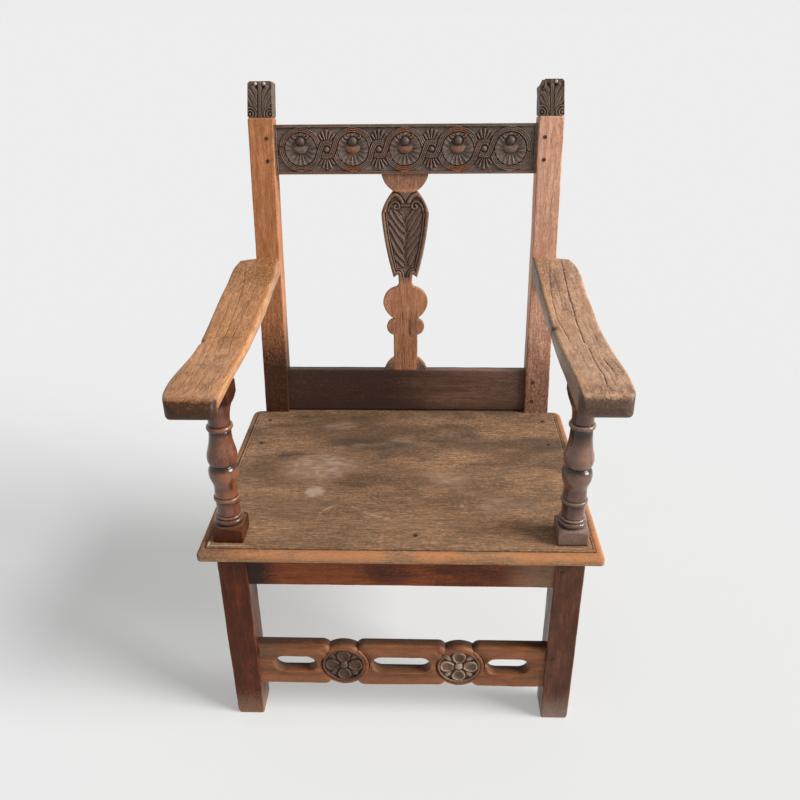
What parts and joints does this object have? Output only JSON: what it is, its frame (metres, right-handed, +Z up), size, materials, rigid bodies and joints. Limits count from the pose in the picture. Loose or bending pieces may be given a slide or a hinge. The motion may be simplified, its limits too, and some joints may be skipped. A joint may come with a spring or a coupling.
{
  "type": "wainscot chair",
  "caption": "Joined open armchair with a carved crest rail and splat, turned arm supports, plank seat and a pierced front stretcher.",
  "frame": {"origin": "on the floor, under the middle of the chair's overall box", "axes": "+Z up, +Y to the chair's back, +X to the right of someone who stands in front of it"},
  "size_m": [0.7272, 0.7125, 1.114],
  "materials": {
    "oak": "old waxed oak, red brown, worn at the edges",
    "dark_oak": "carved or hidden oak, darker with old wax and dust",
    "arm_oak": "arm tops polished by hands, orange brown",
    "seat_oak": "dry grey brown planks",
    "peg_oak": "end grain of riven oak pegs",
    "iron": "rusty wrought iron nails"
  },
  "bodies": {
    "root": {"front_post_left": "oak", "front_post_right": "oak", "rear_post_left": "oak", "rear_post_right": "oak", "front_seat_rail": "oak", "side_seat_rail_left": "oak", "side_seat_rail_right": "oak", "rear_seat_rail": "oak", "seat_plank_front": "seat_oak", "seat_plank_rear": "seat_oak", "front_stretcher": "dark_oak", "arm_left": "arm_oak", "arm_right": "arm_oak", "lower_back_rail": "dark_oak", "crest_rail": "dark_oak", "splat": "dark_oak", "front_rail_pegs": "peg_oak", "side_rail_pegs": "peg_oak", "rear_rail_pegs": "peg_oak", "stretcher_pegs": "peg_oak", "lower_rail_pegs": "peg_oak", "crest_rail_pegs": "peg_oak", "arm_pegs": "peg_oak", "seat_nails": "iron"}
  },
  "joints": []
}
